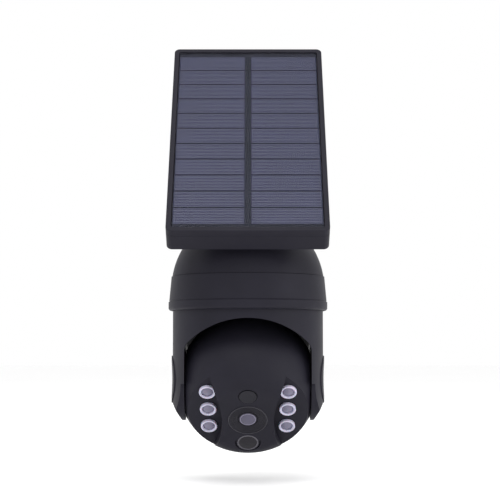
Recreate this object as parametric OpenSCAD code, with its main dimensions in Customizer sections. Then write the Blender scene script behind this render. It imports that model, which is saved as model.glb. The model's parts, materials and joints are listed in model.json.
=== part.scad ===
// Wall-mounted solar security camera: a ball that tilts in a two-armed yoke, a yoke that pans under a
// domed housing, and a solar panel on a swivelling hinge above it.
// Millimetres, +Z up, front towards -Y. Origin: centre of the wall bracket's back face.

/* [Camera ball] */
// Diameter of the camera ball
ball_d = 101.2; // [92:0.2:124]
// Width of the ball across its two flat cheeks
cheek_w = 88.6; // [80:0.2:92]
// Wall thickness of every moulded shell
shell_wall = 2.6; // [2:0.1:3.4]
// Distance from the ball's centre to the face with the lens
face_d = 36.4; // [34:0.2:40]
// Radius that blends the face into the ball
face_blend = 15; // [8:1:18]
// Distance from the ball's centre to the floor of the lamp pockets
pocket_d = 27; // [24:0.5:30]
// Width of the face at its waist, between the lamp pockets
waist_w = 36.6; // [32:0.2:42]
// Radius of the curved pocket walls
waist_r = 86; // [60:1:90]
// Height of the waist above the lens centre
waist_v = -3; // [-6:0.5:6]
// Distance from the lens centre down to the face's straight lower edge
chin_v = 24.3; // [22:0.1:28]
// Slope of the chin below that edge, from the face
chin_slope = 35; // [20:1:45]
// Distance from the ball's centre back to the joint between its two shells
ball_split = 20; // [14:1:26]
// Downward tilt of the lens at rest
tilt_rest = 44; // [10:1:80]

/* [Face parts] */
// Diameter of the round lens bezel
bezel_d = 28.2; // [24:0.2:32]
// Diameter of the front lens
lens_d = 11.8; // [8:0.2:14]
// Diameter of an infrared lamp's white bezel
lamp_d = 11.8; // [9:0.2:13]
// Sideways distance of each lamp row from the lens centre
lamp_x = 28.1; // [26:0.1:30]
// Distance between neighbouring lamps in a row
lamp_pitch = 17.1; // [13:0.1:18]
// Outward shift of each lamp from the one below it
lamp_lean = 0.3; // [0:0.1:0.8]
// Height of a lamp's bezel above the pocket floor, without its round lip
lamp_h = 1.2; // [1:0.1:4]
// Height of the middle lamps above the lens centre
lamp_v = 2.2; // [0:0.1:5]
// Diameter of the light-sensor window
light_d = 13.4; // [8:0.2:15]
// Height of the light-sensor window above the lens centre
light_v = 23.2; // [21:0.2:26]
// Diameter of the motion-sensor lens
pir_d = 15; // [10:0.2:16]
// Distance of the motion sensor below the lens centre
pir_v = 23.3; // [20:0.1:26]

/* [Yoke] */
// Gap between the ball and the inside of the yoke's drum
ball_gap = 0.8; // [0.6:0.1:2]
// Gap between each cheek of the ball and the arm beside it
arm_gap = 0.7; // [0.5:0.1:1.5]
// Wall thickness of the yoke's drum and roof
drum_wall = 3; // [2.4:0.1:4]
// Distance from the top of the ball down to the top of the front opening
arch_drop = 4.6; // [4:0.2:12]
// Radius of the arch over the front opening
arch_r = 62; // [52:1:80]
// Radius of the arch's two corners
arch_corner = 10; // [6:1:16]
// Radius of the arms' round lower ends about the tilt axis
arm_end_r = 26.5; // [25:0.5:34]
// Diameter of the round caps on the arms
cap_d = 34; // [28:0.5:40]
// How far the caps' centres sit above the tilt axis
cap_lift = 3; // [0:0.5:5]
// How far the caps stand out from the arms
cap_proud = 0.8; // [0.4:0.1:2]
// Diameter of the hollow pan shaft on the yoke's roof
pan_shaft_d = 16; // [14:0.5:18]

/* [Housing] */
// Gap between the drum and the collar's skirt
skirt_gap = 0.6; // [0.4:0.1:1.5]
// Height of the collar's skirt edge above the top of the ball
skirt_rise = 1.7; // [1:0.1:4]
// Height of the collar's lower rim band
rim_h = 7.2; // [5:0.2:10]
// Height from the skirt's edge to the seam under the dome
collar_h = 24.7; // [22:0.1:34]
// How much further out the dome's sphere reaches than the drum
dome_proud = 1.1; // [0.5:0.1:3]
// Height of the seam above the centre of the dome's sphere
seam_rise = 8; // [4:0.5:12]
// Distance of the housing's screw posts from the pan axis
post_r = 46; // [45:0.5:47]

/* [Wall bracket] */
// Distance from the wall to the pan axis
wall_standoff = 102; // [98:1:130]
// Height of the bracket's centre above the tilt axis
tilt_drop = 80; // [78:0.5:86]
// Width of the wall plate
plate_w = 84; // [70:1:100]
// Height of the wall plate
plate_h = 96; // [80:1:120]
// Thickness of the wall plate
plate_t = 5; // [4:0.5:8]
// Sideways distance between the wall screws
bolt_x = 64; // [54:1:72]
// Upright distance between the wall screws
bolt_z = 76; // [60:1:90]
// Diameter of the wall screw holes
bolt_d = 5; // [4:0.5:6]
// Width and height of the square arm
arm_w = 36; // [32:1:44]

/* [Solar panel] */
// Width of the solar panel
panel_w = 112; // [100:1:140]
// Length of the solar panel along its slope
panel_l = 190; // [156:1:230]
// Thickness of the solar panel
panel_t = 19; // [15:0.5:24]
// Width of the rim around the clear sheet
rim_w = 3.6; // [3:0.1:6]
// Cells side by side
cell_cols = 2; // [1:1:3]
// Rows of cells up the slope
cell_rows = 11; // [6:1:14]
// Gap between neighbouring rows of cells
row_gap = 1.1; // [0.6:0.1:2]
// Gap between the columns of cells
column_gap = 4.6; // [2:0.1:8]
// Gap between the rim and the cells at the sides
cell_side = 0.8; // [0.6:0.1:5]
// Gap between the rim and the cells at the upper and lower ends
cell_border = 4.2; // [0.6:0.1:6]
// Slope of the panel at rest
panel_slope = 52; // [20:1:55]
// Height of the panel's hinge above the top of the dome
hinge_rise = 19; // [18:0.5:30]
// Distance along the slope from the panel's middle down to its hinge
hinge_shift = 18; // [0:1:30]
// Distance from the hinge axis to the underside of the panel
hinge_depth = 16; // [15:0.5:20]

/* [Gears] */
// Teeth on the pan gear
pan_teeth = 36; // [30:1:40]
// Teeth on the tilt gear
tilt_teeth = 30; // [26:1:34]
// Teeth on both pinions
pinion_teeth = 12; // [10:1:14]

/* [Hidden] */

$fn = 96;
eps = 0.5; // overshoot that keeps cuts clean
fit_gap = 0.05; // radial running clearance of every shaft

shell_black = [0.075, 0.072, 0.085];
rubber_black = [0.05, 0.05, 0.055];
steel_grey = [0.72, 0.73, 0.75];
board_green = [0.08, 0.3, 0.16];
gear_white = [0.9, 0.89, 0.85];
motor_grey = [0.62, 0.63, 0.65];

// Radii about the pan axis
ball_r = ball_d / 2;
drum_in = ball_r + ball_gap;
drum_r = drum_in + drum_wall;
skirt_in = drum_r + skirt_gap;
rim_r = skirt_in + shell_wall;
dome_r = drum_r + dome_proud;
seam_r = sqrt(dome_r * dome_r - seam_rise * seam_rise);
room_r = seam_r - shell_wall;

// Heights above the tilt axis
roof_z = drum_in + drum_wall;
floor_z = roof_z + skirt_gap;
deck_z = floor_z + shell_wall;
skirt_z = ball_r + skirt_rise;
seam_z = skirt_z + collar_h;
dome_z = seam_z - seam_rise;
dome_top = dome_z + dome_r;
crease_z = skirt_z + rim_h;
arch_z = ball_r - arch_drop;
hinge_z = dome_top + hinge_rise;

// Sideways distances from the middle plane
cheek_x = cheek_w / 2;
arm_x = cheek_x + arm_gap;
liner_t = 1.6;
liner_deep = 3.6;
liner_w = 36;
liner_l = 50;
liner_low = 15; // below the tilt axis
arm_taper = 29;
cap_seat = drum_r - 4.2;
bush_len = 6.8;
axle_r = 4;
bush_r = 7;
axle_head_t = 1.5;
axle_head_r = 8;
cap_r = cap_d / 2;
dish_r = cap_r - 3;
dish_deep = 2;
dish_curve_r = (dish_r * dish_r + dish_deep * dish_deep) / (2 * dish_deep);

// Gears
pan_module = 1;
tilt_module = 0.8;
pinion_turn = 180 + 180 / pinion_teeth; // turns a gap of the pinion towards its gear
pan_centres = pan_module * (pan_teeth + pinion_teeth) / 2;
tilt_centres = tilt_module * (tilt_teeth + pinion_teeth) / 2;
gear_t = 4;
pan_shaft_r = pan_shaft_d / 2;
bush_top = deck_z + 6.6;
pan_gear_z = bush_top + 0.3;
motor_z = pan_gear_z + gear_t + 1.8;
motor_r = 14;
motor_h = 12;
motor_x = pan_centres + 8;
motor_ear = 17.5;
pinion_shaft_r = 2.5;
tilt_gear_x = cheek_x - bush_len - gear_t;
tilt_motor_r = 10;
tilt_motor_l = 18;
tilt_plate_t = 1.2;
tilt_plate_x = tilt_gear_x - 0.4 - tilt_plate_t;

// Housing inside
bracket_seat = room_r - 7.4;
bracket_screw_l = 16;
arm_screw_x = 11;
arm_screw_z = 8;
post_size = 3.5;
screw_r = 1.5;
pillar_r = 3;
pillar_at = post_r - 10;
board_z = motor_z + motor_h + 1.5;
board_t = 1.6;
board_r = post_r - post_size - 1.5;
cell_d = 18.4;
cell_l = 65.2;
cell_gap = 0.8;
tray_base = 1.6;
cell_z = board_z + board_t + tray_base + cell_d / 2;

// Seals and side openings
seal_w = 1.2;
seal_h = 1;
port_turn = 62;
port_z = (crease_z + seam_z) / 2;
port_seat = room_r + 1.5;
usb_w = 9;
usb_h = 3.4;
usb_corner = 1.5;
cover_w = 22;
cover_h = 11;
cover_t = 1.8;
button_turn = -62;
button_r = 4.5;
button_out = rim_r + 0.6;

// Ball
waist_cx = waist_w / 2 + waist_r;
lamp_rim_w = 1.6;
lamp_board_w = 11;
lens_curve_r = 9;
window_deep = 1.8;
window_gap = 0.45; // leaves a groove that is widest above the window
pir_seat = 1.4;
pir_rim_w = 1;
pir_curve_r = 20;
notch_w = 0.8;
post_v = 15;
post_d = -14;
pocket_floor = pocket_d - shell_wall;
bezel_seat = face_d - 1.5;
lamp_rows = [-1, 0, 1];
pir_boss_r = pir_d / 2 + notch_w;
ball_seat = 6.5; // from the joint between the shells to the screw heads
ball_screw_turn = 36; // from the middle of the ball towards its cheeks
ball_screw_in = 13.4; // in from the ball's surface

// Panel, measured up from its underside
back_t = 2.5;
frame_t = 5.5;
tray_h = panel_t - frame_t;
seal_t = 0.8;
sheet_t = 1;
cell_t = 0.3;
backing_t = 1.2;
window_w = panel_w - 2 * rim_w;
window_l = panel_l - 2 * rim_w;
ledge_w = 6;
sheet_drop = 0.5;
sheet_z = panel_t - sheet_drop - sheet_t - cell_t - backing_t;
panel_screw_z = 6;
screw_inset = 6.2;
sheet_gap = 0.2;
knuckle_w = 17.4;
ear_t = 5;
ear_gap = 0.3;
ear_r = 9;
bolt_r = 3;
swivel_r = 17;
swivel_t = 5;
seat_z = dome_top + 0.5;
swivel_pin_r = 6;
bracket_t = 3;
bracket_w = 40;
bracket_l = 50;
panel_corner = 4;
tray_corner = 1.8;
bracket_bolt_x = 14.5;
bracket_bolt_y = 19.5;

sides = [-1, 1];

// ---- placing ----

// Pan axis, with the tilt axis at height zero
module at_body() translate([0, -wall_standoff, -tilt_drop]) children();

// Ball frame: X across, Y up the face, Z out along the lens
module at_ball() at_body() rotate([tilt_rest + 90, 0, 0]) children();

// Panel frame: X across, Y up the slope, Z out of the panel, origin on the hinge axis
module at_panel() at_body() translate([0, 0, hinge_z]) rotate([panel_slope, 0, 0]) children();

module along_x(from) translate([from, 0, 0]) rotate([0, 90, 0]) children();

// The same thing on the right and, mirrored, on the left
module both_ways() for (s = sides) mirror([(1 - s) / 2, 0, 0]) children();

// ---- shared shapes ----

module ring(r_out, r_in, h) difference() {
    cylinder(r = r_out, h = h);
    translate([0, 0, -eps]) cylinder(r = r_in, h = h + 2 * eps);
}

module rounded_plate(w, l, h, r) linear_extrude(h) rounded_rect(w, l, r);

module rounded_rect(w, l, r) {
    square([w - 2 * r, l], center = true);
    square([w, l - 2 * r], center = true);
    for (x = sides, y = sides) translate([x * (w / 2 - r), y * (l / 2 - r)]) circle(r);
}

// Pan-head screw pointing down, its head resting on height zero
module screw(r, length) {
    translate([0, 0, -length]) cylinder(r = r, h = length);
    difference() {
        cylinder(r = 2 * r, h = 1.2 * r);
        translate([0, 0, 0.5 * r]) cylinder(r = r, h = 2 * r, $fn = 6);
    }
}

// Spur gear with slim tapered teeth, so that it turns with backlash
module spur_gear(teeth, size, h, bore_r) {
    pitch_r = size * teeth / 2;
    root_r = pitch_r - 1.25 * size;
    tip_r = pitch_r + 0.85 * size;
    step = 360 / teeth;
    difference() {
        linear_extrude(h) polygon([
            for (i = [0 : teeth - 1], c = [[root_r, -0.34], [tip_r, -0.1], [tip_r, 0.1], [root_r, 0.34]])
                c[0] * [cos((i + c[1]) * step), sin((i + c[1]) * step)]
        ]);
        translate([0, 0, -eps]) cylinder(r = bore_r, h = h + 2 * eps);
    }
}

module at_posts() for (a = [45 : 90 : 315]) rotate([0, 0, a]) translate([post_r, 0, 0]) children();

module at_pillars() for (a = [90, 180, 270]) rotate([0, 0, a]) translate([pillar_at, 0, 0]) children();

module at_motor_ears() for (s = sides) translate([motor_x, s * motor_ear, 0]) children();

// ---- housing ----

module dome_solid(r, from) rotate_extrude() intersection() {
    translate([0, dome_z]) circle(r);
    translate([0, from]) square([r + eps, dome_z + r + eps - from]);
}

module collar_outline() {
    polygon([[0, crease_z - 1], [rim_r - 1, crease_z - 1], [rim_r - 0.5, crease_z], [seam_r + 0.6, seam_z],
        [0, seam_z]]);
    translate([0, skirt_z + 2]) square([rim_r, rim_h - 3]);
    translate([0, skirt_z]) square([rim_r - 2, rim_h]);
    translate([rim_r - 2, skirt_z + 2]) circle(2);
    translate([rim_r - 2, crease_z - 2]) circle(2);
}

module collar_solid() rotate_extrude() intersection() {
    collar_outline();
    square([rim_r + eps, seam_z + eps]);
}

// Screws that hold the wall bracket's arm, from inside the housing out towards +Y
module bracket_axes() for (x = sides, z = sides)
    translate([x * arm_screw_x, 0, tilt_drop + z * arm_screw_z]) rotate([-90, 0, 0]) children();

module bracket_screw_holes() bracket_axes() {
    cylinder(r = 4.3, h = bracket_seat);
    cylinder(r = 2, h = bracket_seat + bracket_screw_l);
}

module port_frame(turn) rotate([0, 0, turn]) translate([0, 0, port_z]) children();

module dome_shell() color(shell_black) at_body() difference() {
    union() {
        difference() {
            dome_solid(dome_r, seam_z);
            dome_solid(dome_r - shell_wall, seam_z - eps);
        }
        intersection() {
            dome_solid(dome_r - shell_wall / 2, seam_z);
            at_posts() cylinder(r = post_size, h = dome_top);
        }
        translate([0, 0, seat_z - 8]) cylinder(r = swivel_r + 1, h = 8);
        intersection() {
            dome_solid(dome_r - shell_wall / 2, seam_z);
            bracket_axes() translate([0, 0, bracket_seat]) cylinder(r = 4.7, h = dome_r);
        }
    }
    at_posts() translate([0, 0, seam_z - eps]) cylinder(r = screw_r, h = 9 + eps);
    translate([0, 0, dome_z]) cylinder(r = swivel_pin_r + fit_gap, h = 2 * dome_r);
    bracket_screw_holes();
}

module collar_shell() color(shell_black) at_body() difference() {
    union() {
        difference() {
            collar_solid();
            translate([0, 0, deck_z]) cylinder(r = room_r, h = collar_h);
            translate([0, 0, skirt_z - eps]) cylinder(r = skirt_in, h = floor_z - skirt_z + eps);
        }
        at_posts() translate([0, 0, floor_z]) cylinder(r = post_size, h = seam_z - floor_z);
        at_pillars() translate([0, 0, floor_z]) cylinder(r = pillar_r, h = board_z - floor_z);
        at_motor_ears() translate([0, 0, floor_z]) cylinder(r = post_size, h = motor_z - floor_z);
        translate([0, 0, floor_z]) cylinder(r = pan_shaft_r + 6, h = bush_top - 1.2 - floor_z);
        intersection() {
            translate([0, 0, deck_z]) cylinder(r = room_r + 1, h = seam_z - deck_z);
            bracket_axes() translate([0, 0, bracket_seat]) cylinder(r = 4.7, h = dome_r);
        }
    }
    translate([0, 0, floor_z - eps]) cylinder(r = pan_shaft_r + 3, h = 20);
    at_posts() {
        translate([0, 0, floor_z - eps]) cylinder(r = 2.2 * screw_r, h = 8 + eps);
        cylinder(r = screw_r, h = seam_z + eps);
    }
    at_motor_ears() translate([0, 0, motor_z - 8]) cylinder(r = 1.2, h = 9);
    translate([0, 0, seam_z - seal_h]) ring(room_r + 0.8 + seal_w, room_r + 0.8, 2 * seal_h);
    bracket_screw_holes();
    port_frame(port_turn) {
        translate([-cover_w / 2 - 1, port_seat, -cover_h / 2 - 0.6]) cube([cover_w + 2, 9, cover_h + 1.2]);
        rotate([-90, 0, 0]) translate([0, 0, room_r - 3])
            linear_extrude(6) rounded_rect(usb_w, usb_h, usb_corner);
    }
    port_frame(button_turn) rotate([-90, 0, 0]) translate([0, 0, room_r - 3])
        cylinder(r = button_r + 0.2, h = 10);
}

module housing_seal() color(rubber_black) at_body()
    translate([0, 0, seam_z - seal_h]) ring(room_r + 0.8 + seal_w, room_r + 0.8, seal_h);

module housing_screws() color(steel_grey) at_body() at_posts()
    translate([0, 0, floor_z + 8]) rotate([180, 0, 0]) screw(screw_r, seam_z - floor_z);

module battery_cells() color("royalblue") at_body() for (s = sides)
    translate([-cell_l / 2, s * (cell_d + cell_gap) / 2, cell_z]) rotate([0, 90, 0]) {
        cylinder(r = cell_d / 2, h = cell_l - 1.2);
        translate([0, 0, cell_l - 1.2]) cylinder(r = 3, h = 1.2);
    }

module battery_holder() color([0.12, 0.12, 0.13]) at_body() {
    holder_w = 2 * cell_d + cell_gap + 2.4;
    translate([0, 0, board_z + board_t]) {
        translate([-cell_l / 2 - 2.4, -holder_w / 2, 0]) cube([cell_l + 4.8, holder_w, tray_base]);
        for (s = sides) {
            translate([s * (cell_l / 2 + 1.5) - 0.9, -holder_w / 2, 0])
                cube([1.8, holder_w, tray_base + 0.6 * cell_d]);
            translate([-cell_l / 2 - 2.4, s * (holder_w / 2 - 0.6) - 0.6, 0])
                cube([cell_l + 4.8, 1.2, tray_base + 0.25 * cell_d]);
        }
    }
}

module main_board() color(board_green) at_body() translate([0, 0, board_z]) {
    difference() {
        cylinder(r = board_r, h = board_t);
        translate([0, 0, -eps]) cylinder(r = 4, h = board_t + 2 * eps);
    }
    for (p = [[-24, -14, 9], [-20, 10, 12], [2, -24, 8]])
        translate([p[0], p[1], -1.2]) cube([p[2], p[2], 1.2]);
}

module wifi_antenna() color([0.75, 0.5, 0.15]) at_body()
    translate([-5, -board_r + 4, board_z + board_t]) cube([10, 0.8, 14]);

module pan_motor() color(motor_grey) at_body() difference() {
    union() {
        translate([motor_x, 0, motor_z]) cylinder(r = motor_r, h = motor_h);
        translate([motor_x - 3.5, -motor_ear, motor_z]) cube([7, 2 * motor_ear, 0.8]);
        at_motor_ears() translate([0, 0, motor_z]) cylinder(r = post_size, h = 0.8);
        translate([pan_centres, 0, motor_z - 1.4]) cylinder(r = 4.5, h = 2);
    }
    translate([pan_centres, 0, motor_z - 3]) cylinder(r = pinion_shaft_r + fit_gap, h = 9);
    at_motor_ears() translate([0, 0, motor_z - eps]) cylinder(r = 1.2, h = 3);
}

module motor_screws() color(steel_grey) at_body() at_motor_ears()
    translate([0, 0, motor_z + 0.8]) screw(1.2, 7);

module pan_bush() color([0.83, 0.79, 0.66]) at_body() difference() {
    union() {
        translate([0, 0, floor_z]) cylinder(r = pan_shaft_r + 3, h = bush_top - floor_z);
        translate([0, 0, bush_top - 1.2]) cylinder(r = pan_shaft_r + 6, h = 1.2);
    }
    translate([0, 0, floor_z - eps]) cylinder(r = pan_shaft_r + fit_gap, h = 20);
}

module pan_pinion() color(gear_white) at_body() translate([pan_centres, 0, pan_gear_z]) {
    rotate([0, 0, pinion_turn]) spur_gear(pinion_teeth, pan_module, gear_t, pinion_shaft_r);
    cylinder(r = pinion_shaft_r, h = motor_z + 5 - pan_gear_z);
}

module usb_socket() color(steel_grey) at_body() port_frame(port_turn) rotate([-90, 0, 0]) difference() {
    translate([0, 0, port_seat - 8]) linear_extrude(8) rounded_rect(usb_w, usb_h, usb_corner);
    translate([0, 0, port_seat - 6]) linear_extrude(7) rounded_rect(usb_w - 0.8, usb_h - 0.8, 1.2);
    translate([0, 0, port_seat - 6]) linear_extrude(7) square([5.6, 0.6], center = true);
}

module port_cover() color(rubber_black) at_body() port_frame(port_turn)
    translate([-cover_w / 2, port_seat + 0.15, 0]) {
        translate([0, 0, -cover_h / 2]) cube([cover_w, cover_t, cover_h]);
        translate([cover_w - 3, cover_t + 0.5, 0]) cube([3, 1.4, 5], center = true);
    }

module power_button() color([0.16, 0.16, 0.18]) at_body() port_frame(button_turn) rotate([-90, 0, 0]) {
    translate([0, 0, room_r - 2]) cylinder(r = button_r, h = button_out - room_r + 2);
    translate([0, 0, room_r - 2.1]) cylinder(r = button_r + 1.2, h = 1.5);
}

// ---- wall bracket ----

module wall_bracket() color(shell_black) difference() {
    union() {
        rotate([90, 0, 0]) rounded_plate(plate_w, plate_h, plate_t, 10);
        rotate([90, 0, 0]) rounded_plate(arm_w, arm_w, wall_standoff - 0.6 * dome_r, 4);
        rotate([90, 0, 0]) rounded_plate(arm_w + 10, arm_w + 10, plate_t + 3, 6);
    }
    rotate([90, 0, 0]) translate([0, 0, -eps])
        rounded_plate(arm_w - 8, arm_w - 8, wall_standoff - dome_r - 8, 3);
    at_body() {
        dome_solid(dome_r, seam_z - eps);
        collar_solid();
        cylinder(r = rim_r, h = crease_z);
    }
    for (x = sides, z = sides) translate([x * bolt_x / 2, eps, z * bolt_z / 2]) rotate([90, 0, 0])
        cylinder(r = bolt_d / 2, h = plate_t + 2 * eps);
    at_body() bracket_axes() cylinder(r = 2, h = bracket_seat + bracket_screw_l);
}

module bracket_screws() color(steel_grey) at_body() bracket_axes()
    translate([0, 0, bracket_seat]) rotate([180, 0, 0]) screw(2, bracket_screw_l);

// ---- yoke ----

module arch_2d() {
    reach = arch_r - arch_corner;
    corner_x = arm_x - arch_corner;
    arch_c = arch_z - arch_r;
    corner_z = arch_c + sqrt(reach * reach - corner_x * corner_x);
    intersection() {
        translate([0, arch_c]) circle(arch_r);
        polygon([[0, arch_c], [2 * corner_x, 2 * corner_z - arch_c], [-2 * corner_x, 2 * corner_z - arch_c]]);
    }
    for (s = sides) translate([s * corner_x, corner_z]) circle(arch_corner);
    translate([-arm_x, -drum_r]) square([2 * arm_x, corner_z + drum_r]);
}

module yoke_shell() color(shell_black) at_body() difference() {
    union() {
        translate([0, 0, -arm_end_r]) cylinder(r = drum_r, h = roof_z + arm_end_r);
        translate([0, 0, roof_z - eps]) cylinder(r = pan_shaft_r, h = pan_gear_z + gear_t + 2 - roof_z + eps);
    }
    // room for the ball, between the flat inner faces of the arms
    intersection() {
        translate([0, 0, -arm_end_r - eps]) cylinder(r = drum_in, h = drum_in + arm_end_r + eps);
        translate([-arm_x, -drum_r, -arm_end_r - eps])
            cube([2 * arm_x, 2 * drum_r, drum_in + arm_end_r + eps]);
    }
    // front and back openings
    rotate([90, 0, 0]) linear_extrude(2 * drum_r + 2, center = true) arch_2d();
    // round lower ends of the arms, thinned towards the tip
    difference() {
        translate([-drum_r - eps, -drum_r, -arm_end_r - eps])
            cube([2 * drum_r + 1, 2 * drum_r, arm_end_r + eps]);
        along_x(-drum_r - 1) cylinder(r = arm_end_r, h = 2 * drum_r + 2);
    }
    for (s = sides) translate([s * drum_r, 0, -arm_end_r / 2]) rotate([0, s * arm_taper, 0])
        translate([-drum_r * (1 - s) / 2, -drum_r, -3 * arm_end_r]) cube([drum_r, 2 * drum_r, 3 * arm_end_r]);
    translate([0, 0, drum_in - eps]) cylinder(r = pan_shaft_r - 3, h = 40);
    both_ways() {
        translate([0, 0, cap_lift]) along_x(cap_seat) cylinder(r = cap_r + 0.1, h = drum_r);
        along_x(arm_x - eps) cylinder(r = axle_r, h = drum_r);
        difference() {
            translate([arm_x - eps, -liner_w / 2, -liner_low]) cube([liner_deep + eps, liner_w, liner_l]);
            along_x(arm_x + liner_t) cylinder(r = axle_r + 5, h = 10);
        }
    }
}

module arm_liners() color(shell_black) at_body() both_ways() difference() {
    translate([arm_x, -liner_w / 2, -liner_low]) cube([liner_t, liner_w, liner_l]);
    along_x(arm_x - eps) cylinder(r = axle_r + 0.2, h = liner_t + 2 * eps);
}

module ear_cap() intersection() {
    difference() {
        translate([0, 0, cap_lift]) along_x(cap_seat) cylinder(r = cap_r, h = drum_r);
        along_x(cap_seat - eps) cylinder(r = axle_head_r + 0.6, h = axle_head_t + 0.3 + eps);
        translate([drum_r + cap_proud - dish_deep + dish_curve_r, 0, cap_lift]) sphere(r = dish_curve_r);
    }
    translate([0, 0, cap_lift - cap_r - 1]) cylinder(r = drum_r + cap_proud, h = 2 * cap_r + 2);
}

module ear_cap_right() color(shell_black) at_body() ear_cap();

module ear_cap_left() color(shell_black) at_body() mirror([1, 0, 0]) ear_cap();

module pan_gear() color(gear_white) at_body()
    translate([0, 0, pan_gear_z]) spur_gear(pan_teeth, pan_module, gear_t, pan_shaft_r);

module pan_retainer() color(steel_grey) at_body()
    translate([0, 0, pan_gear_z + gear_t]) ring(pan_shaft_r + 3, pan_shaft_r, 1.2);

module pivot_axles() color(steel_grey) at_body() both_ways() {
    along_x(tilt_gear_x - 2.4) cylinder(r = axle_r, h = cap_seat - tilt_gear_x + 2.4);
    along_x(cap_seat) cylinder(r = axle_head_r, h = axle_head_t);
}

module axle_clips() color(steel_grey) at_body() {
    along_x(tilt_gear_x - 1.3) ring(axle_r + 2.4, axle_r, 1);
    along_x(-cheek_x + bush_len + 0.3) ring(axle_r + 2.4, axle_r, 1);
}

module tilt_gear() color(gear_white) at_ball()
    along_x(tilt_gear_x) spur_gear(tilt_teeth, tilt_module, gear_t - 0.3, axle_r);

// ---- ball ----

// Ball turned about the lens axis, with its face flattened and blended in
module blended_ball(r, face, blend) {
    blend_x = sqrt((r - blend) * (r - blend) - (face - blend) * (face - blend));
    rotate_extrude() intersection() {
        union() {
            difference() {
                circle(r);
                polygon([[0, 0], [3 * blend_x, 3 * (face - blend)], [3 * blend_x, 3 * r], [0, 3 * r]]);
            }
            translate([blend_x, face - blend]) circle(blend);
            polygon([[0, 0], [blend_x, face - blend], [blend_x, face], [0, face]]);
        }
        translate([0, -r - eps]) square([r + eps, 2 * r + 2 * eps]);
    }
}

module cheek_slab(x) translate([-x, -ball_r, -ball_r]) cube([2 * x, ball_d, ball_d]);

// Everything outside the curved pocket walls, from a given depth outward
module pocket_cut(r, from) for (s = sides)
    translate([s * waist_cx, waist_v, from]) cylinder(r = r, h = ball_r);

// Everything below the sloping chin, moved in by a wall thickness when asked
module chin_cut(inset) translate([0, -chin_v, face_d]) rotate([-chin_slope, 0, 0])
    translate([-ball_r, -2 * ball_r, -inset]) cube([ball_d, 2 * ball_r + 40, 2 * ball_r]);

module ball_outside() difference() {
    intersection() {
        blended_ball(ball_r, face_d, face_blend);
        cheek_slab(cheek_x);
    }
    pocket_cut(waist_r, pocket_d);
    difference() {
        intersection() {
            chin_cut(0);
            translate([-ball_r, -2 * ball_r, -ball_r]) cube([ball_d, 2 * ball_r - chin_v, 2 * ball_d]);
        }
        translate([0, -pir_v, 0]) cylinder(r = pir_boss_r, h = face_d + eps);
    }
}

module ball_inside() difference() {
    intersection() {
        sphere(r = ball_r - shell_wall);
        cheek_slab(cheek_x - shell_wall);
        translate([-ball_r, -ball_r, -ball_r]) cube([ball_d, ball_d, ball_r + face_d - shell_wall]);
    }
    pocket_cut(waist_r + shell_wall, pocket_floor);
    intersection() {
        chin_cut(shell_wall);
        translate([-ball_r, -2 * ball_r, -ball_r]) cube([ball_d, 2 * ball_r - chin_v + 4, 2 * ball_d]);
    }
}

module behind_split(from) translate([-ball_r - 1, -ball_r - 1, -2 * ball_r + from])
    cube([ball_d + 2, ball_d + 2, 2 * ball_r]);

module at_lamps() for (s = sides, i = lamp_rows)
    translate([s * (lamp_x + i * lamp_lean), lamp_v + i * lamp_pitch, pocket_d]) children();

module at_ball_screws() for (x = sides, y = sides)
    translate([0, 0, -ball_split]) rotate([0, 0, 90 - x * ball_screw_turn + (1 - y) * 90])
        translate([ball_r - ball_screw_in, 0, 0]) children();

module at_tilt_posts() for (y = sides) translate([0, y * post_v, post_d]) children();

module ball_front_shell() color(shell_black) at_ball() difference() {
    union() {
        difference() {
            ball_outside();
            ball_inside();
            behind_split(-ball_split);
        }
        // hubs for the pivot bushes
        both_ways() along_x(cheek_x - bush_len) cylinder(r = bush_r + 3, h = bush_len);
        // posts that carry the tilt motor's bracket
        at_tilt_posts() along_x(tilt_plate_x + tilt_plate_t)
            cylinder(r = 2.6, h = cheek_x - tilt_plate_x - tilt_plate_t - 1);
        // bosses for the shell screws
        intersection() {
            sphere(r = ball_r - 1);
            at_ball_screws() {
                cylinder(r = 3.4, h = 13);
                translate([0, -1, 0]) cube([14, 2, 13]);
            }
        }
    }
    both_ways() along_x(cheek_x - bush_len - 1) cylinder(r = bush_r, h = bush_len + 2);
    at_ball_screws() translate([0, 0, -eps]) cylinder(r = screw_r, h = 9);
    // lens opening and its bezel seat
    translate([0, 0, face_d - 8]) cylinder(r = 11, h = 10);
    translate([0, 0, bezel_seat]) cylinder(r = bezel_d / 2, h = 5);
    // lamp holes, light-sensor seat and motion-sensor seat
    at_lamps() translate([0, 0, -6]) cylinder(r = lamp_d / 2 - 1.4, h = 8);
    translate([0, light_v, face_d - window_deep]) cylinder(r = light_d / 2, h = 5);
    translate([0, light_v, face_d - 5]) cylinder(r = 3, h = 6);
    translate([0, -pir_v, face_d - pir_seat]) cylinder(r = pir_d / 2, h = 5);
    translate([0, -pir_v, face_d - 8]) cylinder(r = 4.7, h = 8);
    // notches beside the motion sensor
    difference() {
        translate([0, -pir_v, face_d - 2.5]) cylinder(r = pir_boss_r + notch_w, h = 4);
        translate([0, -pir_v, face_d - 3]) cylinder(r = pir_boss_r, h = 6);
        translate([-ball_r, -chin_v + 3, 0]) cube([ball_d, 40, 60]);
    }
}

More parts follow.
